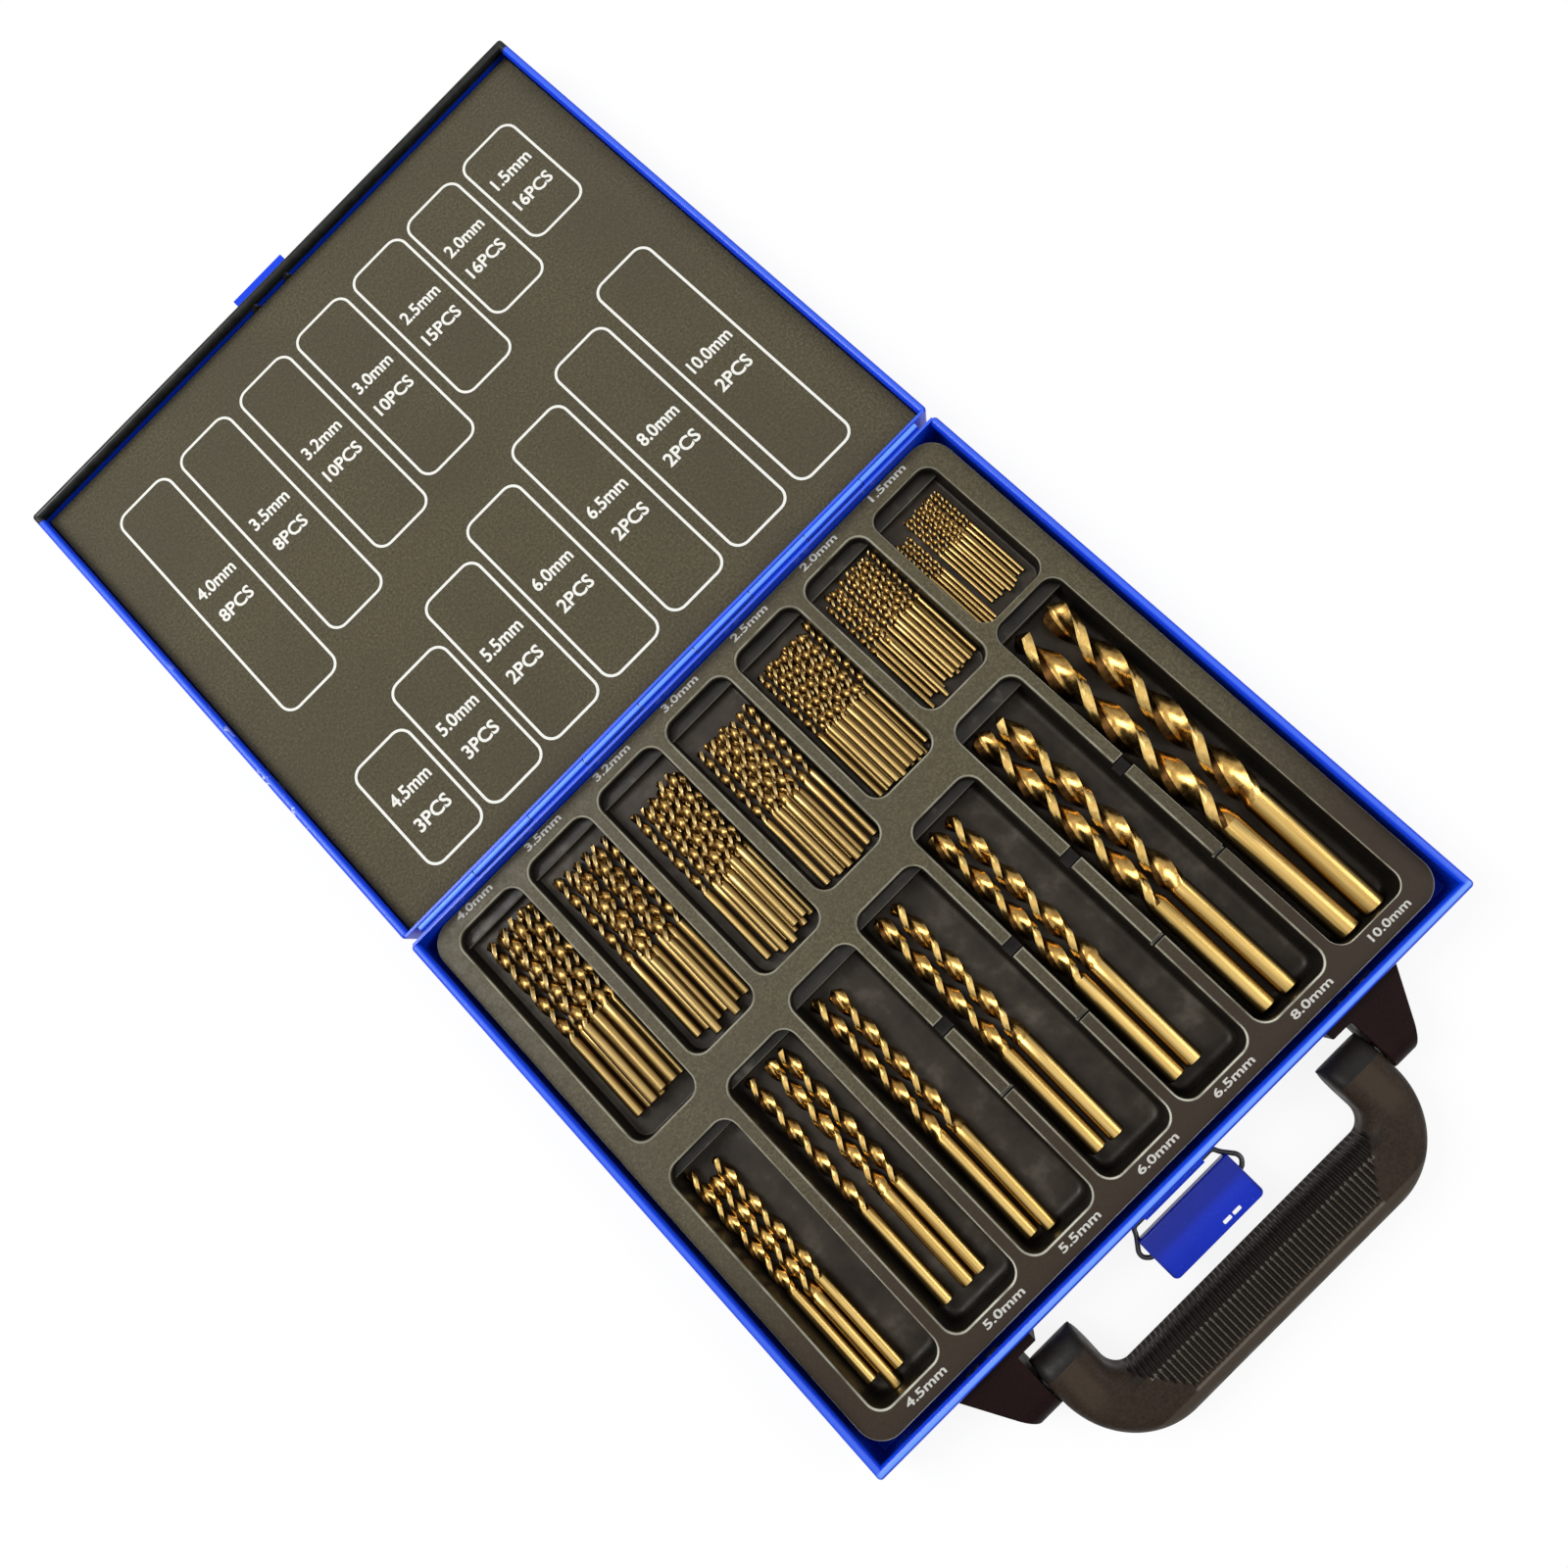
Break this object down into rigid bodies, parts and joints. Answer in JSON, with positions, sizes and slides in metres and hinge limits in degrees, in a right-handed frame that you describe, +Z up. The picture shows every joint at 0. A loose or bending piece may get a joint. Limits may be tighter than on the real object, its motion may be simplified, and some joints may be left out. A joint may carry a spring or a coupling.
{
  "type": "drill bit case",
  "caption": "Open blue steel case with a moulded tray of gold drill bits, a labelled foam pad in the lid, a black carrying handle and a wire toggle latch.",
  "frame": {"origin": "centre of the flat underside of the base box", "axes": "+X along the hinge towards the end with the largest bits, +Y from the handle side to the hinge and on to the open lid, +Z up from the surface that the case lies on"},
  "size_m": [0.24, 0.4775, 0.0214],
  "materials": {
    "blue_paint": "gloss",
    "tray_plastic": "satin",
    "pad_foam": "matte",
    "handle_plastic": "satin",
    "black_wire": "satin",
    "bare_steel": "satin",
    "gold_bits": "satin"
  },
  "bodies": {
    "base": {"base_shell": "blue_paint", "hinge_leaf_base": "blue_paint", "hinge_pin": "bare_steel", "drill_tray": "tray_plastic", "handle_bracket_right": "handle_plastic", "handle_bracket_left": "handle_plastic", "handle_pins": "bare_steel", "bracket_screws": "bare_steel", "latch_bracket": "blue_paint", "latch_rivets": "blue_paint", "bits_1_5mm": "gold_bits", "bits_2_0mm": "gold_bits", "bits_2_5mm": "gold_bits", "bits_3_0mm": "gold_bits", "bits_3_2mm": "gold_bits", "bits_3_5mm": "gold_bits", "bits_4_0mm": "gold_bits", "bits_4_5mm": "gold_bits", "bits_5_0mm": "gold_bits", "bits_5_5mm": "gold_bits", "bits_6_0mm": "gold_bits", "bits_6_5mm": "gold_bits", "bits_8_0mm": "gold_bits", "bits_10_0mm": "gold_bits"},
    "lid": {"lid_shell": "blue_paint", "hinge_leaf_lid": "blue_paint", "lid_pad": "pad_foam", "lid_catch": "blue_paint", "catch_rivets": "blue_paint"},
    "handle": {"handle": "handle_plastic"},
    "latch_wire": {"latch_bail": "black_wire"},
    "latch_lever": {"latch_lever": "blue_paint"}
  },
  "joints": [
    {"name": "lid_hinge", "type": "hinge", "parent": "base", "child": "lid", "pos_m": [0, 0.1078, 0.0202], "axis": [1, 0, 0], "range_deg": [0, 180]},
    {"name": "handle_pivot", "type": "hinge", "parent": "base", "child": "handle", "pos_m": [0, -0.121, 0.01], "axis": [-1, 0, 0], "range_deg": [0, 85]},
    {"name": "latch_wire_pivot", "type": "hinge", "parent": "base", "child": "latch_wire", "pos_m": [-0.002, -0.1082, 0.01], "axis": [-1, 0, 0], "range_deg": [0, 88]},
    {"name": "latch_lever_pivot", "type": "hinge", "parent": "latch_wire", "child": "latch_lever", "pos_m": [-0.002, -0.1175, 0.01], "axis": [1, 0, 0], "range_deg": [0, 178]}
  ],
  "couplings": [
    {"joint": "latch_lever_pivot", "follows": "latch_wire_pivot", "ratio": 2.0227}
  ]
}
